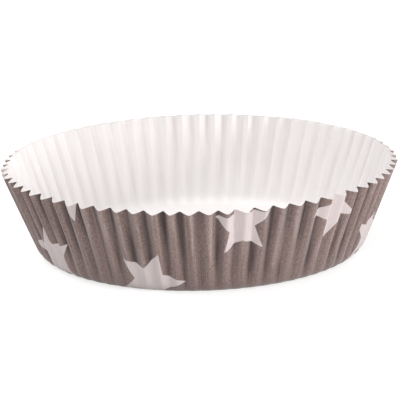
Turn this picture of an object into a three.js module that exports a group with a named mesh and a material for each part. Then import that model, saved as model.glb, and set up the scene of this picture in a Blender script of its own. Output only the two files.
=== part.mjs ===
// A paper tart baking mould as it comes out of the press. It starts as one round blank of
// greaseproof card, which a plunger pushes through a fluted ring, so that its edge stands up
// as a pleated wall around a flat floor. The card doesn't stretch: each ring of the blank keeps
// its length, the wall is shorter round than the blank was, and the surplus goes into the
// pleats. There is none at the edge of the floor and the most at the rim, which stays a raw
// cut edge. The folds that stand outwards end lower than the ones that stand inwards, because
// both have the same length of card between floor and rim.
// Millimetres, +Z up, with the origin on the table under the middle of the floor.

import * as THREE from "three";

// Driving sizes
const BASE_DIAMETER = 160; // where the line of the wall would meet the table
const WALL_HEIGHT = 44.4; // from the table to the rim, halfway through the pleats
const WALL_LEAN = THREE.MathUtils.degToRad(20.6); // outwards from upright
const FOOT_RADIUS = 9; // outside of the bend between floor and wall
const CARD_THICKNESS = 0.3;
const PLEAT_COUNT = 68;

// The pleats are a zigzag with rounded folds, written as a wave with two overtones
const FLANK_STRAIGHTNESS = 0.08;
const INNER_SHARPNESS = 0.06; // the folds that stand inwards are creased harder than the others
const FOLD_FULLNESS = 0.95; // how deep this wave is, as a share of a sharp zigzag of the same card

// Facets
const STEPS_PER_PLEAT = 6;
const FOOT_STEPS = 3;
const WALL_STEPS = 3;

// The middle of the card's thickness, followed from the centre of the blank out to its edge
const MIDDLE = CARD_THICKNESS / 2;
const bendAngle = Math.PI / 2 - WALL_LEAN;
const bendRadius = FOOT_RADIUS - MIDDLE;
const floorReach = BASE_DIAMETER / 2 - FOOT_RADIUS * Math.tan(bendAngle / 2);
const bendReach = floorReach + bendRadius * bendAngle;
const bendTop = {
  radius: floorReach + bendRadius * Math.cos(WALL_LEAN),
  height: FOOT_RADIUS - bendRadius * Math.sin(WALL_LEAN),
};
const blankRadius = bendReach + (WALL_HEIGHT - bendTop.height) / Math.cos(WALL_LEAN);

// Where the card at this distance from the blank's centre stands once it is pressed, leaving
// the pleats aside. facing is the direction of its outside, as an angle from level.
function sectionAt(distance) {
  if (distance <= floorReach)
    return { radius: distance, height: MIDDLE, facing: -Math.PI / 2 };
  if (distance <= bendReach) {
    const facing = (distance - floorReach) / bendRadius - Math.PI / 2;
    return {
      radius: floorReach + bendRadius * Math.cos(facing),
      height: FOOT_RADIUS + bendRadius * Math.sin(facing),
      facing,
    };
  }
  const climbed = distance - bendReach;
  return {
    radius: bendTop.radius + climbed * Math.sin(WALL_LEAN),
    height: bendTop.height + climbed * Math.cos(WALL_LEAN),
    facing: -WALL_LEAN,
  };
}

// How far the pleats reach from their inner to their outer folds. The ring of the blank at this
// distance is longer than the ring that it becomes, and a zigzag of this depth takes it all in.
function pleatDepth(distance, radius) {
  const surplus = distance / radius;
  const halfPitch = (Math.PI * radius) / PLEAT_COUNT;
  return FOLD_FULLNESS * halfPitch * Math.sqrt(Math.max(surplus ** 2 - 1, 0));
}

// The pleats' wave, from about -1 at an inner fold to 1 at an outer one. +X has an inner fold.
function pleatWave(angle) {
  const turn = PLEAT_COUNT * angle + Math.PI;
  const wave =
    Math.cos(turn) -
    INNER_SHARPNESS * Math.cos(2 * turn) +
    FLANK_STRAIGHTNESS * Math.cos(3 * turn);
  return wave / (1 + FLANK_STRAIGHTNESS);
}

// The middle of the pressed card
function pressedPoint(distance, angle) {
  const { radius, height, facing } = sectionAt(distance);
  const out = (pleatDepth(distance, radius) / 2) * pleatWave(angle);
  const pleated = radius + out * Math.cos(facing);
  return new THREE.Vector3(
    pleated * Math.cos(angle),
    pleated * Math.sin(angle),
    height + out * Math.sin(facing),
  );
}

// The direction in which the outside of the pressed card faces, square to its surface
function outsideAt(distance, angle) {
  if (distance <= floorReach) return new THREE.Vector3(0, 0, -1);
  const nudge = 1e-4;
  const outwards = pressedPoint(distance + nudge, angle).sub(pressedPoint(distance - nudge, angle));
  const round = pressedPoint(distance, angle + nudge).sub(pressedPoint(distance, angle - nudge));
  return round.cross(outwards).normalize();
}

// The flat blank with both its faces, as a thin revolved disc with a ring of vertices at each
// place where the card will bend. Its underside becomes the outside of the case.
function flatBlank() {
  const rings = [0, floorReach];
  for (let i = 1; i <= FOOT_STEPS; i++)
    rings.push(THREE.MathUtils.lerp(floorReach, bendReach, i / FOOT_STEPS));
  for (let i = 1; i <= WALL_STEPS; i++)
    rings.push(THREE.MathUtils.lerp(bendReach, blankRadius, i / WALL_STEPS));
  const underside = rings.map((distance) => new THREE.Vector2(distance, -MIDDLE));
  const topside = rings.map((distance) => new THREE.Vector2(distance, MIDDLE)).reverse();
  const blank = new THREE.LatheGeometry([...underside, ...topside], PLEAT_COUNT * STEPS_PER_PLEAT);
  return blank.rotateX(Math.PI / 2);
}

// Presses the blank: each vertex goes to its place on the pleated card, still half the card's
// thickness from its middle.
function press(blank) {
  const position = blank.getAttribute("position");
  const vertex = new THREE.Vector3();
  for (let i = 0; i < position.count; i++) {
    vertex.fromBufferAttribute(position, i);
    const distance = Math.hypot(vertex.x, vertex.y);
    const angle = Math.atan2(vertex.y, vertex.x);
    const pressed = pressedPoint(distance, angle);
    pressed.addScaledVector(outsideAt(distance, angle), -vertex.z);
    position.setXYZ(i, pressed.x, pressed.y, pressed.z);
  }
  blank.computeVertexNormals();
  return blank;
}

const printedCard = new THREE.MeshStandardMaterial({
  color: "#85766e",
  roughness: 0.75,
  metalness: 0,
});

const pleatedCase = new THREE.Mesh(press(flatBlank()), printedCard);
pleatedCase.name = "pleated_case";

const tartMould = new THREE.Group();
tartMould.add(pleatedCase);

export default tartMould;
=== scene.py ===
import random
from math import atan2, cos, hypot, pi, radians, sin, sqrt, tan

import bmesh
import bpy
from mathutils import Matrix, Vector


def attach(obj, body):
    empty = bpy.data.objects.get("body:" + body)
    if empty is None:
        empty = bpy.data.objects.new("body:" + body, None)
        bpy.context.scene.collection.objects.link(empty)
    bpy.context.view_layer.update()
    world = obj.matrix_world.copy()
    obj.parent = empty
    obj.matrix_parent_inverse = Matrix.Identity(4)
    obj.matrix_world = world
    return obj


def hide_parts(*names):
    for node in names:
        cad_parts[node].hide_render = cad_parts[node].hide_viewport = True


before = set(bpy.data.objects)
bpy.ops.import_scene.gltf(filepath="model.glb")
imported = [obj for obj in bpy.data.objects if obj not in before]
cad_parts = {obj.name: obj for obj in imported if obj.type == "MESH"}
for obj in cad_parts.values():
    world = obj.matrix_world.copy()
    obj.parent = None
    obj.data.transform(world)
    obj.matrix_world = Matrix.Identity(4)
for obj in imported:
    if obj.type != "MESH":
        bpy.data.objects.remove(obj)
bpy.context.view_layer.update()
scene = bpy.context.scene


# The pleated case
# A round blank of greaseproof card, printed on one face and white on the other. A plunger
# presses it through a fluted ring, which bends its foot and stands its edge up in pleats.
# Nothing is glued or rolled: the rim is the blank's own cut edge.

CARD_THICKNESS = 0.0003
PLEATS = 68
BASE_RADIUS = 0.080
WALL_HEIGHT = 0.0444
WALL_LEAN = radians(20.6)
FOOT_RADIUS = 0.009
FLANK_STRAIGHTNESS = 0.08
INNER_SHARPNESS = 0.06
FOLD_FULLNESS = 0.95

STEPS_PER_PLEAT = 12
FOOT_STEPS = 5
WALL_STEPS = 12

bend_angle = pi / 2 - WALL_LEAN
bend_radius = FOOT_RADIUS - CARD_THICKNESS / 2
floor_reach = BASE_RADIUS - FOOT_RADIUS * tan(bend_angle / 2)
bend_reach = floor_reach + bend_radius * bend_angle
bend_top_radius = floor_reach + bend_radius * cos(WALL_LEAN)
bend_top_height = FOOT_RADIUS - bend_radius * sin(WALL_LEAN)
blank_radius = bend_reach + (WALL_HEIGHT - bend_top_height) / cos(WALL_LEAN)

foot_step = (bend_reach - floor_reach) / FOOT_STEPS
wall_step = (blank_radius - bend_reach) / WALL_STEPS
rings = [floor_reach + foot_step * i for i in range(FOOT_STEPS + 1)]
rings += [bend_reach + wall_step * (i + 1) for i in range(WALL_STEPS)]

# The flat blank: a disc as wide as the floor, then one extruded ring after another
bpy.ops.object.select_all(action="DESELECT")
bpy.ops.mesh.primitive_circle_add(
    vertices=PLEATS * STEPS_PER_PLEAT, radius=floor_reach, fill_type="NGON"
)
case = bpy.context.object
case.name = "pleated_card"
bpy.ops.object.mode_set(mode="EDIT")
bpy.ops.mesh.select_mode(type="EDGE")
for nearer, further in zip(rings, rings[1:]):
    bpy.ops.mesh.select_all(action="SELECT")
    bpy.ops.mesh.region_to_loop()
    bpy.ops.mesh.extrude_edges_indiv()
    bpy.ops.transform.resize(value=(further / nearer, further / nearer, 1))
bpy.ops.mesh.select_all(action="SELECT")
bpy.ops.mesh.normals_make_consistent(inside=False)
bpy.ops.object.mode_set(mode="OBJECT")

# The print goes on before the press, so its map is the flat blank itself, in metres
blank_map = case.data.uv_layers.new(name="blank")
for loop in case.data.loops:
    blank_map.data[loop.index].uv = case.data.vertices[loop.vertex_index].co.xy


def section_at(distance):
    """Radius, height and facing of the pressed card at this distance from the blank's centre."""
    if distance <= bend_reach:
        facing = (distance - floor_reach) / bend_radius - pi / 2
        radius = floor_reach + bend_radius * cos(facing)
        return radius, FOOT_RADIUS + bend_radius * sin(facing), facing
    climbed = distance - bend_reach
    radius = bend_top_radius + climbed * sin(WALL_LEAN)
    return radius, bend_top_height + climbed * cos(WALL_LEAN), -WALL_LEAN


def pleat_wave(turn):
    """From about -1 at an inner fold, at turn 0, to about 1 at an outer one, half a turn on."""
    wave = -cos(turn) - INNER_SHARPNESS * cos(2 * turn) - FLANK_STRAIGHTNESS * cos(3 * turn)
    return wave / (1 + FLANK_STRAIGHTNESS)


# The press: each ring of the blank goes to its place on the foot or the wall, and its surplus
# length into the pleats, step by step across them
bpy.ops.object.mode_set(mode="EDIT")
bpy.ops.mesh.select_mode(type="VERT")
sheet = bmesh.from_edit_mesh(case.data)
ring_of = {}
step_of = {}
for vertex in sheet.verts:
    distance = hypot(vertex.co.x, vertex.co.y)
    angle = atan2(vertex.co.y, vertex.co.x)
    ring_of[vertex] = min(range(len(rings)), key=lambda i: abs(rings[i] - distance))
    step_of[vertex] = round(angle / (2 * pi) * PLEATS * STEPS_PER_PLEAT) % STEPS_PER_PLEAT
for ring, distance in enumerate(rings):
    radius, height, facing = section_at(distance)
    pitch = 2 * pi * radius / PLEATS
    depth = FOLD_FULLNESS * pitch / 2 * sqrt(max((distance / radius) ** 2 - 1, 0))
    for step in range(STEPS_PER_PLEAT):
        out = depth / 2 * pleat_wave(2 * pi * step / STEPS_PER_PLEAT)
        for vertex in sheet.verts:
            vertex.select = ring_of[vertex] == ring and step_of[vertex] == step
        sheet.select_flush_mode()
        drawn_in = (radius + out * cos(facing)) / distance
        bpy.ops.transform.resize(value=(drawn_in, drawn_in, 1), center_override=(0, 0, 0))
        bpy.ops.transform.translate(value=(0, 0, height + out * sin(facing)))
bpy.ops.object.mode_set(mode="OBJECT")

# Card springs back a little, so up to the rim the folds are not quite evenly spaced and deep
SPACING_PLAY = radians(0.35)
DEPTH_PLAY = 0.0004
FOLDS = PLEATS * 2
chance = random.Random(7)
spacing_play = [chance.uniform(-SPACING_PLAY, SPACING_PLAY) for _ in range(FOLDS)]
depth_chance = random.Random(5)
depth_play = [depth_chance.uniform(-DEPTH_PLAY, DEPTH_PLAY) for _ in range(FOLDS)]
for vertex in case.data.vertices:
    angle = atan2(vertex.co.y, vertex.co.x) % (2 * pi)
    fold = angle / (2 * pi) * FOLDS
    before, past = int(fold) % FOLDS, fold % 1
    after = (before + 1) % FOLDS
    up = vertex.co.z / WALL_HEIGHT
    turned = (spacing_play[before] * (1 - past) + spacing_play[after] * past) * up
    outwards = (depth_play[before] * (1 - past) + depth_play[after] * past) * up
    vertex.co += Vector((cos(angle), sin(angle), 0)) * outwards
    vertex.co = Matrix.Rotation(turned, 3, "Z") @ vertex.co

# The card's thickness goes half to each side: printed face, white face, cut edge
SHARPEST_FOLD = radians(50)
if case.data.polygons[0].normal.z > 0:
    case.data.flip_normals()
for name in ("printed_face", "greaseproof_face", "cut_edge"):
    case.data.materials.append(bpy.data.materials.new(name))
thickness = case.modifiers.new("thickness", "SOLIDIFY")
thickness.thickness = CARD_THICKNESS
thickness.offset = 0
thickness.use_even_offset = True
thickness.material_offset = 1
thickness.material_offset_rim = 2
bpy.ops.object.modifier_apply(modifier="thickness")
bpy.ops.object.shade_smooth_by_angle(angle=SHARPEST_FOLD)


def calculate(tree, operation, *values):
    """A Math node on numbers and sockets, which gives back its result's socket."""
    node = tree.nodes.new("ShaderNodeMath")
    node.operation = operation
    for socket, value in zip(node.inputs, values):
        if isinstance(value, bpy.types.NodeSocket):
            tree.links.new(value, socket)
        else:
            socket.default_value = value
    return node.outputs[0]


def spread(tree, value, from_range, to_range):
    """Maps a value smoothly from one range to another, and holds it at the ends."""
    node = tree.nodes.new("ShaderNodeMapRange")
    node.interpolation_type = "SMOOTHSTEP"
    node.inputs["From Min"].default_value, node.inputs["From Max"].default_value = from_range
    node.inputs["To Min"].default_value, node.inputs["To Max"].default_value = to_range
    tree.links.new(value, node.inputs["Value"])
    return node.outputs["Result"]


def add_noise(tree, place, scale, detail):
    """A Noise Texture at this place, which gives back its value's socket."""
    noise = tree.nodes.new("ShaderNodeTexNoise")
    noise.inputs["Scale"].default_value = scale
    noise.inputs["Detail"].default_value = detail
    tree.links.new(place, noise.inputs["Vector"])
    return noise.outputs["Fac"]


def start_group(name, takes, gives):
    """A shader node group with these sockets, each a name and its type."""
    group = bpy.data.node_groups.new(name, "ShaderNodeTree")
    for socket, kind in takes:
        group.interface.new_socket(socket, in_out="INPUT", socket_type=kind)
    for socket, kind in gives:
        group.interface.new_socket(socket, in_out="OUTPUT", socket_type=kind)
    return group, group.nodes.new("NodeGroupInput"), group.nodes.new("NodeGroupOutput")


# A five-pointed star, as the distance from its outline: folded about its arms, the whole
# outline is the one edge from a tip to the notch beside it
STAR_RADIUS = 0.0180
NOTCH_RADIUS = 0.0082
half_arm = pi / 5
notch = Vector((NOTCH_RADIUS * cos(half_arm), NOTCH_RADIUS * sin(half_arm)))
arm_edge = (notch - Vector((STAR_RADIUS, 0))).normalized()
star_outline, taken, given = start_group(
    "star_outline", [("From Centre", "NodeSocketVector")], [("Distance", "NodeSocketFloat")]
)
star_place = star_outline.nodes.new("ShaderNodeSeparateXYZ")
star_reach = star_outline.nodes.new("ShaderNodeVectorMath")
star_reach.operation = "LENGTH"
star_outline.links.new(taken.outputs["From Centre"], star_place.inputs[0])
star_outline.links.new(taken.outputs["From Centre"], star_reach.inputs[0])
star_turn = calculate(star_outline, "ARCTAN2", star_place.outputs["Y"], star_place.outputs["X"])
arm_turn = calculate(star_outline, "PINGPONG", star_turn, half_arm)
arm_cosine = calculate(star_outline, "COSINE", arm_turn)
arm_sine = calculate(star_outline, "SINE", arm_turn)
along_arm = calculate(star_outline, "MULTIPLY", arm_cosine, star_reach.outputs["Value"])
across_arm = calculate(star_outline, "MULTIPLY", arm_sine, star_reach.outputs["Value"])
beyond_tip = calculate(star_outline, "SUBTRACT", along_arm, STAR_RADIUS)
beside_arm = calculate(star_outline, "MULTIPLY", across_arm, -arm_edge.x)
from_outline = calculate(star_outline, "MULTIPLY_ADD", beyond_tip, arm_edge.y, beside_arm)
star_outline.links.new(from_outline, given.inputs["Distance"])

# The grain of the card, from its place on the flat blank. Fibre is a felt of fine fibres that
# lie round and up the wall, Wrinkle the fine creases that the press draws up the wall, and
# Cloud the patchiness of paper. Inner Fold, Outer Fold and Rim say how near a place is to each.
FIBRE_SCALE = 1900
FIBRE_ROUND = 0.10
FIBRE_STRETCH = 3.5
WRINKLE_SCALE = 1100
WRINKLE_ROUND = 0.11
WRINKLE_UP = 0.012
CLOUD_SCALE = 60
RIM_BAND = 0.0012
GRAIN_VALUES = ("Fibre", "Wrinkle", "Cloud", "Inner Fold", "Outer Fold", "Rim")
card_grain, taken, given = start_group(
    "card_grain",
    [("Blank", "NodeSocketVector")],
    [(name, "NodeSocketFloat") for name in GRAIN_VALUES],
)
blank_place = card_grain.nodes.new("ShaderNodeSeparateXYZ")
blank_reach = card_grain.nodes.new("ShaderNodeVectorMath")
blank_reach.operation = "LENGTH"
card_grain.links.new(taken.outputs["Blank"], blank_place.inputs[0])
card_grain.links.new(taken.outputs["Blank"], blank_reach.inputs[0])
round_wall = calculate(card_grain, "ARCTAN2", blank_place.outputs["Y"], blank_place.outputs["X"])
up_wall = blank_reach.outputs["Value"]


def wall_place(round_by, up_by):
    """A place for a noise that follows the wall, stretched by different amounts round and up."""
    node = card_grain.nodes.new("ShaderNodeCombineXYZ")
    card_grain.links.new(calculate(card_grain, "MULTIPLY", round_wall, round_by), node.inputs["X"])
    card_grain.links.new(calculate(card_grain, "MULTIPLY", up_wall, up_by), node.inputs["Y"])
    return node.outputs[0]


along = wall_place(FIBRE_ROUND, 1 / FIBRE_STRETCH)
across = wall_place(FIBRE_ROUND / FIBRE_STRETCH, 1)
fibres_up = add_noise(card_grain, along, scale=FIBRE_SCALE, detail=2)
fibres_round = add_noise(card_grain, across, scale=FIBRE_SCALE, detail=2)
both_ways = calculate(card_grain, "ADD", fibres_up, fibres_round)
felt = calculate(card_grain, "MULTIPLY", both_ways, 0.5)
card_grain.links.new(felt, given.inputs["Fibre"])
drawn = wall_place(WRINKLE_ROUND, WRINKLE_UP)
wrinkles = add_noise(card_grain, drawn, scale=WRINKLE_SCALE, detail=3)
card_grain.links.new(wrinkles, given.inputs["Wrinkle"])
clouds = add_noise(card_grain, taken.outputs["Blank"], scale=CLOUD_SCALE, detail=4)
card_grain.links.new(clouds, given.inputs["Cloud"])

# The folds start at the floor's edge, are full part of the way up the wall, and their marks vary
# at random in strength. The fold side is 1 along an inner fold and -1 along an outer one: a hollow
# and a sharp crease in it are marked round the first, and a ridge round the second. The inner fold
# mark carries painted shade on the print; the outer fold mark a painted highlight on the print
# and painted shade on the white face.
FULLY_FOLDED = 0.35
MARK_NOISE_SCALE = 0.9
MARK_NOISE_UP = 30
MARK_STRENGTHS = (0.3, 1.35)
NOISE_REACH = (0.3, 0.7)
HOLLOW_SIDE = (-0.6, 0.97)
HOLLOW_MARK = 0.8
CREASE_SIDE = (0.80, 0.99)
CREASE_MARK = 0.35
RIDGE_SIDE = (0.3, -0.95)
fully_folded = bend_reach + FULLY_FOLDED * (blank_radius - bend_reach)
up_foot = spread(card_grain, up_wall, (floor_reach, fully_folded), (0, 1))
unevenness = add_noise(card_grain, wall_place(PLEATS / pi, MARK_NOISE_UP), scale=MARK_NOISE_SCALE, detail=1)
mark_strength = spread(card_grain, unevenness, NOISE_REACH, MARK_STRENGTHS)
folded = calculate(card_grain, "MULTIPLY", up_foot, mark_strength)
fold_side = calculate(card_grain, "COSINE", calculate(card_grain, "MULTIPLY", round_wall, PLEATS))
hollow = spread(card_grain, fold_side, HOLLOW_SIDE, (0, HOLLOW_MARK))
crease = spread(card_grain, fold_side, CREASE_SIDE, (0, CREASE_MARK))
creased_hollow = calculate(card_grain, "ADD", hollow, crease)
ridge = spread(card_grain, fold_side, RIDGE_SIDE, (0, 1))
inner_fold = calculate(card_grain, "MULTIPLY", creased_hollow, folded)
outer_fold = calculate(card_grain, "MULTIPLY", ridge, folded)
card_grain.links.new(inner_fold, given.inputs["Inner Fold"])
card_grain.links.new(outer_fold, given.inputs["Outer Fold"])
near_rim = spread(card_grain, up_wall, (blank_radius - RIM_BAND, blank_radius), (0, 1))
card_grain.links.new(near_rim, given.inputs["Rim"])

GRAIN_STRENGTH = 0.35
GRAIN_HEIGHT = 0.00006


def start_card(name, roughness, wrinkle_depth):
    """A card material with its grain in its bump. Gives the tree, shader, map and grain."""
    material = bpy.data.materials[name]
    material.use_nodes = True
    tree = material.node_tree
    shader = tree.nodes["Principled BSDF"]
    shader.inputs["Roughness"].default_value = roughness
    uv = tree.nodes.new("ShaderNodeUVMap")
    uv.uv_map = "blank"
    grain = tree.nodes.new("ShaderNodeGroup")
    grain.node_tree = card_grain
    tree.links.new(uv.outputs["UV"], grain.inputs["Blank"])
    wrinkle, fibre = grain.outputs["Wrinkle"], grain.outputs["Fibre"]
    height = calculate(tree, "MULTIPLY_ADD", wrinkle, wrinkle_depth, fibre)
    bump = tree.nodes.new("ShaderNodeBump")
    bump.inputs["Strength"].default_value = GRAIN_STRENGTH
    bump.inputs["Distance"].default_value = GRAIN_HEIGHT
    tree.links.new(height, bump.inputs["Height"])
    tree.links.new(bump.outputs["Normal"], shader.inputs["Normal"])
    return tree, shader, uv, grain


def tint(tree, colour, amount):
    """Multiplies a colour, given as numbers or a socket, by a value."""
    node = tree.nodes.new("ShaderNodeVectorMath")
    node.operation = "SCALE"
    if isinstance(colour, bpy.types.NodeSocket):
        tree.links.new(colour, node.inputs[0])
    else:
        node.inputs[0].default_value = colour[:3]
    tree.links.new(amount, node.inputs["Scale"])
    return node.outputs[0]


def mix(tree, factor, first, second):
    """Goes from the first colour to the second one, each given as numbers or a socket."""
    node = tree.nodes.new("ShaderNodeMix")
    node.data_type = "RGBA"
    tree.links.new(factor, node.inputs["Factor"])
    for name, colour in (("A", first), ("B", second)):
        if isinstance(colour, bpy.types.NodeSocket):
            tree.links.new(colour, node.inputs[name])
        else:
            node.inputs[name].default_value = colour
    return node.outputs["Result"]


# The stars that the front shows, each as its centre on the blank in metres and its turn in
# degrees. The sheet's repeat carries them on round the back and over the floor, up to the
# blank's edge, and leaves a star out where it would come too near to another.
FRONT_STARS = [
    (-0.0759, -0.0487, 62),
    (-0.0856, -0.1036, 47),
    (-0.0251, -0.0815, 60),
    (0.0254, -0.1147, 62),
    (0.0821, -0.0869, 67),
    (0.0875, -0.0284, 60),
    (0.0262, -0.0500, 8),
]
REPEAT_FROM = Vector(FRONT_STARS[2][:2])
REPEAT_ACROSS = Vector((0.0506, -0.0330))
REPEAT_UP = Vector((0.0115, 0.0556))
REPEAT_PLAY = 0.005
FARTHEST_REPEAT = 4
CLEAR_SPACING = 2.3 * STAR_RADIUS
OVERHANG = 0.8 * STAR_RADIUS
ARM_TO_ARM = 72
stars = list(FRONT_STARS)
for column in range(-FARTHEST_REPEAT, FARTHEST_REPEAT + 1):
    for row in range(1 - FARTHEST_REPEAT, FARTHEST_REPEAT + 1):
        centre = REPEAT_FROM + column * REPEAT_ACROSS + row * REPEAT_UP
        centre += Vector((chance.uniform(-1, 1), chance.uniform(-1, 1))) * REPEAT_PLAY
        turned = chance.uniform(0, ARM_TO_ARM)
        clear = all((centre - Vector(star[:2])).length > CLEAR_SPACING for star in stars)
        if clear and centre.length < blank_radius + OVERHANG:
            stars.append((centre.x, centre.y, turned))

# Painted shade darkens the print in the inner folds, and a painted highlight lightens it on the
# outer ones
PRINT_TAUPE = (0.268, 0.188, 0.170, 1)
FOLD_SHADE_TAUPE = (0.066, 0.040, 0.037, 1)
RIDGE_HIGHLIGHT_TAUPE = (0.460, 0.355, 0.335, 1)
RIDGE_HIGHLIGHT_FROM = (0.75, 1.1)
RIDGE_HIGHLIGHT_BY = 0.4
STAR_WHITE = (0.752, 0.662, 0.656, 1)
PRINT_SOFTNESS = 0.00012
FELT_REACH = (0.35, 0.65)
FIBRE_TONES = (0.72, 1.25)
WRINKLE_TONES = (0.82, 1.16)
STAR_TONES = (0.97, 1.02)
tree, shader, uv, grain = start_card("printed_face", roughness=0.60, wrinkle_depth=1.5)
shader.inputs["Sheen Weight"].default_value = 0.3
shader.inputs["Sheen Roughness"].default_value = 0.45
nearest = None
for x, y, turned in stars:
    centring = tree.nodes.new("ShaderNodeMapping")
    centring.vector_type = "TEXTURE"
    centring.inputs["Location"].default_value = (x, y, 0)
    centring.inputs["Rotation"].default_value = (0, 0, radians(turned))
    outline = tree.nodes.new("ShaderNodeGroup")
    outline.node_tree = star_outline
    tree.links.new(uv.outputs["UV"], centring.inputs["Vector"])
    tree.links.new(centring.outputs["Vector"], outline.inputs["From Centre"])
    from_star = outline.outputs["Distance"]
    nearest = from_star if nearest is None else calculate(tree, "MINIMUM", nearest, from_star)
inked = spread(tree, nearest, (-PRINT_SOFTNESS, PRINT_SOFTNESS), (0, 1))
# Painted highlight on the outer folds and painted shade in the inner ones, mixed into the taupe
ridge_highlight = spread(tree, grain.outputs["Outer Fold"], RIDGE_HIGHLIGHT_FROM, (0, RIDGE_HIGHLIGHT_BY))
taupe = mix(tree, grain.outputs["Inner Fold"], PRINT_TAUPE, FOLD_SHADE_TAUPE)
taupe = mix(tree, ridge_highlight, taupe, RIDGE_HIGHLIGHT_TAUPE)
fibre_tone = spread(tree, grain.outputs["Fibre"], FELT_REACH, FIBRE_TONES)
wrinkle_tone = spread(tree, grain.outputs["Wrinkle"], NOISE_REACH, WRINKLE_TONES)
ink = tint(tree, taupe, calculate(tree, "MULTIPLY", fibre_tone, wrinkle_tone))
star_tone = spread(tree, grain.outputs["Wrinkle"], NOISE_REACH, STAR_TONES)
star_paper = tint(tree, STAR_WHITE, star_tone)
tree.links.new(mix(tree, inked, star_paper, ink), shader.inputs["Base Color"])

# The white face gets painted shade in its hollows, where a fold is pressed outwards, and the same
# grey lies in a narrow band all along the cut edge
GREASEPROOF_WHITE = (0.860, 0.832, 0.824, 1)
FOLD_SHADE_AND_RIM_GREY = (0.780, 0.735, 0.727, 1)
CLOUD_TONES = (0.985, 1.01)
tree, shader, _, grain = start_card("greaseproof_face", roughness=0.42, wrinkle_depth=1.2)
fold_shade_and_rim_band = calculate(tree, "MAXIMUM", grain.outputs["Outer Fold"], grain.outputs["Rim"])
white = mix(tree, fold_shade_and_rim_band, GREASEPROOF_WHITE, FOLD_SHADE_AND_RIM_GREY)
cloud_tone = spread(tree, grain.outputs["Cloud"], NOISE_REACH, CLOUD_TONES)
tree.links.new(tint(tree, white, cloud_tone), shader.inputs["Base Color"])

# The cut edge is the bare card
CARD_CORE = (0.80, 0.75, 0.73, 1)
CORE_TONES = (0.9, 1.05)
tree, shader, _, grain = start_card("cut_edge", roughness=0.85, wrinkle_depth=0.5)
core_tone = spread(tree, grain.outputs["Fibre"], FELT_REACH, CORE_TONES)
tree.links.new(tint(tree, CARD_CORE, core_tone), shader.inputs["Base Color"])

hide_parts("pleated_case")
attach(case, "root")


# The table
# A white table top that runs past the picture on all sides. The camera sees it white up to
# the case's own soft shadow. From below it is clear, so that the underside shows.

TABLE_SIZE = 6
TABLE_WHITE = (0.60, 0.60, 0.60, 1)
TABLE_GLOW = 0.72

bpy.ops.object.select_all(action="DESELECT")
bpy.ops.mesh.primitive_plane_add(size=TABLE_SIZE)
table = bpy.context.object
table.name = "table_top"
table_material = bpy.data.materials.new("white_table")
table_material.use_nodes = True
table.data.materials.append(table_material)
tree = table_material.node_tree
shader = tree.nodes["Principled BSDF"]
shader.inputs["Base Color"].default_value = TABLE_WHITE
shader.inputs["Roughness"].default_value = 0.9
shader.inputs["Specular IOR Level"].default_value = 0
shader.inputs["Emission Color"].default_value = (1, 1, 1, 1)


def seen_directly(tree):
    """1 for what the camera sees itself or in gloss or glass, 0 for light on the object."""
    path = tree.nodes.new("ShaderNodeLightPath")
    seen = calculate(tree, "MAXIMUM", path.outputs["Is Camera Ray"], path.outputs["Is Glossy Ray"])
    return calculate(tree, "MAXIMUM", seen, path.outputs["Is Transmission Ray"])


glow = calculate(tree, "MULTIPLY", seen_directly(tree), TABLE_GLOW)
tree.links.new(glow, shader.inputs["Emission Strength"])
face = tree.nodes.new("ShaderNodeNewGeometry")
clear_face = tree.nodes.new("ShaderNodeBsdfTransparent")
both_faces = tree.nodes.new("ShaderNodeMixShader")
tree.links.new(face.outputs["Backfacing"], both_faces.inputs[0])
tree.links.new(shader.outputs["BSDF"], both_faces.inputs[1])
tree.links.new(clear_face.outputs["BSDF"], both_faces.inputs[2])
tree.links.new(both_faces.outputs[0], tree.nodes["Material Output"].inputs["Surface"])


# The light
# Soft daylight from all round, a wide soft lamp overhead that fills the inside, a weak one from
# the front, and a low one at the right, which picks out the pleats of the outside.

SKY_LIGHT = 0.53
LAMPS = {
    "overhead_lamp": {"watts": 11, "size": 1.1, "place": Vector((-0.40, 0.10, 1.25))},
    "side_lamp": {"watts": 9.2, "size": 0.4, "place": Vector((1.33, -0.68, 0.21))},
    "front_lamp": {"watts": 5.2, "size": 0.8, "place": Vector((0.20, -1.56, 0.40))},
}

sky = bpy.data.worlds.new("studio")
scene.world = sky
sky.use_nodes = True
tree = sky.node_tree
background = tree.nodes["Background"]
background.inputs["Color"].default_value = (1, 1, 1, 1)
seen = calculate(tree, "MULTIPLY_ADD", seen_directly(tree), 1 - SKY_LIGHT, SKY_LIGHT)
tree.links.new(seen, background.inputs["Strength"])

for name, made in LAMPS.items():
    lamp = bpy.data.objects.new(name, bpy.data.lights.new(name, "AREA"))
    scene.collection.objects.link(lamp)
    lamp.data.energy = made["watts"]
    lamp.data.size = made["size"]
    lamp.location = made["place"]
    lamp.rotation_euler = (-made["place"]).to_track_quat("-Z", "Y").to_euler()


# The camera
# A long lens from the front, a little above the rim, held a touch off level.

LENS = 290
CAMERA_DISTANCE = 1.604
CAMERA_ABOVE = radians(15.38)
CAMERA_ROUND = radians(0.27)
CAMERA_TILT = radians(1.46)
AIM = Vector((0, 0, 0.0243))

camera = bpy.data.objects.new("camera", bpy.data.cameras.new("camera"))
scene.collection.objects.link(camera)
scene.camera = camera
camera.data.lens = LENS
camera_turn = (
    Matrix.Rotation(CAMERA_ROUND, 4, "Z")
    @ Matrix.Rotation(pi / 2 - CAMERA_ABOVE, 4, "X")
    @ Matrix.Rotation(-CAMERA_TILT, 4, "Z")
)
drawn_back = Matrix.Translation((0, 0, CAMERA_DISTANCE))
camera.matrix_world = Matrix.Translation(AIM) @ camera_turn @ drawn_back

scene.view_settings.view_transform = "Standard"
